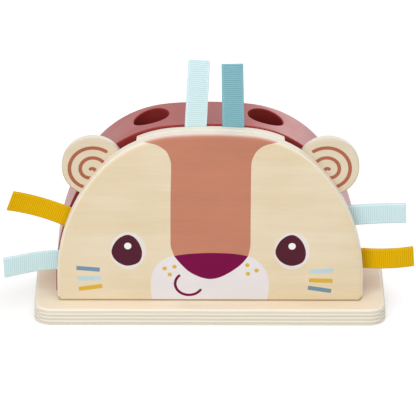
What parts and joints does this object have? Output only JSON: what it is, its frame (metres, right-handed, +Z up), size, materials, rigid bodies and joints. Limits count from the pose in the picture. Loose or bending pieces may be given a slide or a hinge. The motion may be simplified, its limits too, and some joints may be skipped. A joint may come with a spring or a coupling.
{
  "type": "pop up animal toy",
  "caption": "Wooden animal-face baby toy on a flat base board, with round ears, ribbon tags round its edge and sprung vertical holes in a painted arch block.",
  "frame": {"origin": "centre of the base board's underside", "axes": "+X to the right for someone who faces the toy, the face looks along -Y, +Z up"},
  "size_m": [0.2826, 0.0844, 0.1832],
  "materials": {
    "pale_plywood": "clear satin lacquer over birch plywood",
    "printed_plywood": "screen printed under clear satin lacquer",
    "red_lacquered_wood": "terracotta red satin lacquer",
    "beech": "fine sanded",
    "steel": "zinc plated",
    "pale_blue_ribbon": "woven ribbed ribbon",
    "teal_ribbon": "woven ribbed ribbon",
    "mustard_ribbon": "woven ribbed ribbon"
  },
  "bodies": {
    "toy_body": {"base_board": "pale_plywood", "arch_block": "red_lacquered_wood", "spacer_panel": "pale_plywood", "crest_strip": "pale_plywood", "face_panel": "printed_plywood", "panel_dowels": "beech", "crest_dowels": "beech", "ear_dowels": "beech", "base_screws": "steel", "ear_left": "printed_plywood", "ear_right": "printed_plywood", "spring_left": "steel", "spring_right": "steel", "ribbon_top_left": "pale_blue_ribbon", "ribbon_top_right": "teal_ribbon", "ribbon_left_upper": "mustard_ribbon", "ribbon_left_lower": "pale_blue_ribbon", "ribbon_right_upper": "pale_blue_ribbon", "ribbon_right_lower": "mustard_ribbon"},
    "plunger_left_body": {"plunger_left": "beech"},
    "plunger_right_body": {"plunger_right": "beech"}
  },
  "joints": [
    {"name": "plunger_left_slide", "type": "slide", "parent": "toy_body", "child": "plunger_left_body", "axis": [0, 0, 1], "range_m": [-0.035, 0], "stiffness_N_per_m": 150, "springref_m": 0.008, "deforming": ["spring_left"]},
    {"name": "plunger_right_slide", "type": "slide", "parent": "toy_body", "child": "plunger_right_body", "axis": [0, 0, 1], "range_m": [-0.035, 0], "stiffness_N_per_m": 150, "springref_m": 0.008, "deforming": ["spring_right"]}
  ]
}
